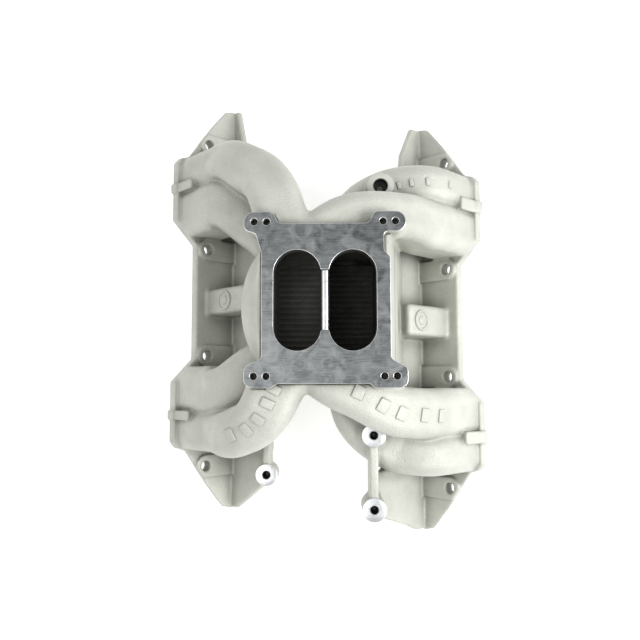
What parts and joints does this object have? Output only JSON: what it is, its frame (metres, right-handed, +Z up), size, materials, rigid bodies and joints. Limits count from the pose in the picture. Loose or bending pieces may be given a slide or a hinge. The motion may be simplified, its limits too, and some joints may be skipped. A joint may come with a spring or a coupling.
{
  "type": "intake manifold",
  "caption": "Two-level aluminium V8 intake manifold with a flat carburettor face over twin throats, curved runners and sloping head flanges.",
  "frame": {"origin": "centre of the carburettor stud pattern on the machined carburettor face", "axes": "+Z up out of the carburettor face, +Y towards the rear of the engine, +X towards the right bank"},
  "size_m": [0.3384, 0.4774, 0.1693],
  "materials": {
    "cast_body": "bare sand-cast aluminium, fine even grain",
    "machined_face": "milled aluminium, mottled with faint swirl marks"
  },
  "bodies": {
    "root": {"bracket_boss_lower": "cast_body", "bracket_boss_upper": "cast_body", "bracket_boss_web": "cast_body", "carburettor_flange": "machined_face", "centre_heat_crossover": "cast_body", "front_left_badge": "cast_body", "front_left_boss": "cast_body", "front_left_boss_web": "cast_body", "front_left_lug": "cast_body", "front_right_badge": "cast_body", "front_right_lug": "cast_body", "left_bolt_pads": "cast_body", "left_crossover_disc": "cast_body", "left_divider_ribs": "cast_body", "left_head_flange": "cast_body", "left_heat_crossover": "cast_body", "left_valley_wall": "cast_body", "lower_plenum_floor": "cast_body", "lower_plenum_wall": "cast_body", "plenum_divider": "cast_body", "rear_casting_marks": "cast_body", "rear_left_lug": "cast_body", "rear_right_lug": "cast_body", "right_bolt_pads": "cast_body", "right_crossover_disc": "cast_body", "right_divider_ribs": "cast_body", "right_head_flange": "cast_body", "right_heat_crossover": "cast_body", "right_valley_wall": "cast_body", "runner_1": "cast_body", "runner_2": "cast_body", "runner_3": "cast_body", "runner_4": "cast_body", "runner_5": "cast_body", "runner_6": "cast_body", "runner_7": "cast_body", "runner_8": "cast_body", "upper_plenum_floor": "cast_body", "upper_plenum_wall": "cast_body", "vacuum_boss": "cast_body"}
  },
  "joints": []
}
